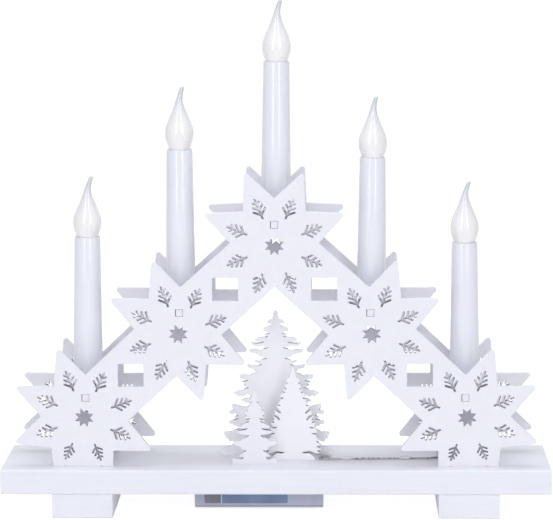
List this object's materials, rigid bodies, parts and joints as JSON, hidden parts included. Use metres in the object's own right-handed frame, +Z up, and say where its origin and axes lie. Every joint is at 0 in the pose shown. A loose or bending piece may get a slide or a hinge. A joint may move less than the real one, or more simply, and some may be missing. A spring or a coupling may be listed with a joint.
{
  "type": "candle arch",
  "caption": "Wooden candle arch of sawn stars between which electric candles stand, with fir trees and a light string on its plank and a battery case under it.",
  "frame": {"origin": "centre of the plank's length and depth, at the underside of the feet", "axes": "+X to the right along the plank as seen from the front, +Y to the back, +Z up"},
  "size_m": [0.4, 0.08, 0.3737],
  "materials": {
    "white_wood": "matt white lacquer over sawn board",
    "candle_plastic": "glossy white",
    "flame_silicone": "frosted, lets light through",
    "clear_lens": "clear, warm tint",
    "case_plastic": "fine grained, pale grey",
    "dark_plastic": "dark grey",
    "cell_wrap": "plain printed sleeve without text",
    "contact_metal": "nickel plated",
    "board_laminate": "green solder mask",
    "wire_sleeve": "white sleeve",
    "string_wire": "fine lacquered wire with clear drops"
  },
  "bodies": {
    "arch": {"base_plank": "white_wood", "left_foot": "white_wood", "right_foot": "white_wood", "front_panel": "white_wood", "back_panel": "white_wood", "candle_rail_1": "white_wood", "candle_rail_2": "white_wood", "candle_rail_3": "white_wood", "candle_rail_4": "white_wood", "candle_rail_5": "white_wood", "candle_tube_1": "candle_plastic", "candle_tube_2": "candle_plastic", "candle_tube_3": "candle_plastic", "candle_tube_4": "candle_plastic", "candle_tube_5": "candle_plastic", "flame_bulb_1": "flame_silicone", "flame_bulb_2": "flame_silicone", "flame_bulb_3": "flame_silicone", "flame_bulb_4": "flame_silicone", "flame_bulb_5": "flame_silicone", "light_holder_1": "candle_plastic", "light_holder_2": "candle_plastic", "light_holder_3": "candle_plastic", "light_holder_4": "candle_plastic", "light_holder_5": "candle_plastic", "candle_light_1": "clear_lens", "candle_light_2": "clear_lens", "candle_light_3": "clear_lens", "candle_light_4": "clear_lens", "candle_light_5": "clear_lens", "back_tree": "white_wood", "right_tree": "white_wood", "left_tree": "white_wood", "battery_case": "case_plastic", "case_screw_1": "contact_metal", "case_screw_2": "contact_metal", "battery_cell_1": "cell_wrap", "battery_cell_2": "cell_wrap", "battery_cell_3": "cell_wrap", "contact_minus": "contact_metal", "contact_bridge_left": "contact_metal", "contact_bridge_right": "contact_metal", "contact_plus": "contact_metal", "timer_board": "board_laminate", "switch_body": "dark_plastic", "candle_lead_1": "wire_sleeve", "candle_lead_2": "wire_sleeve", "candle_lead_3": "wire_sleeve", "candle_lead_4": "wire_sleeve", "feed_lead": "wire_sleeve", "light_string": "string_wire"},
    "cover": {"battery_cover": "case_plastic"},
    "knob": {"switch_knob": "dark_plastic"}
  },
  "joints": [
    {"name": "cover_slide", "type": "slide", "parent": "arch", "child": "cover", "axis": [1, 0, 0], "range_m": [0, 0.058]},
    {"name": "switch_slide", "type": "slide", "parent": "arch", "child": "knob", "axis": [1, 0, 0], "range_m": [0, 0.003]}
  ]
}
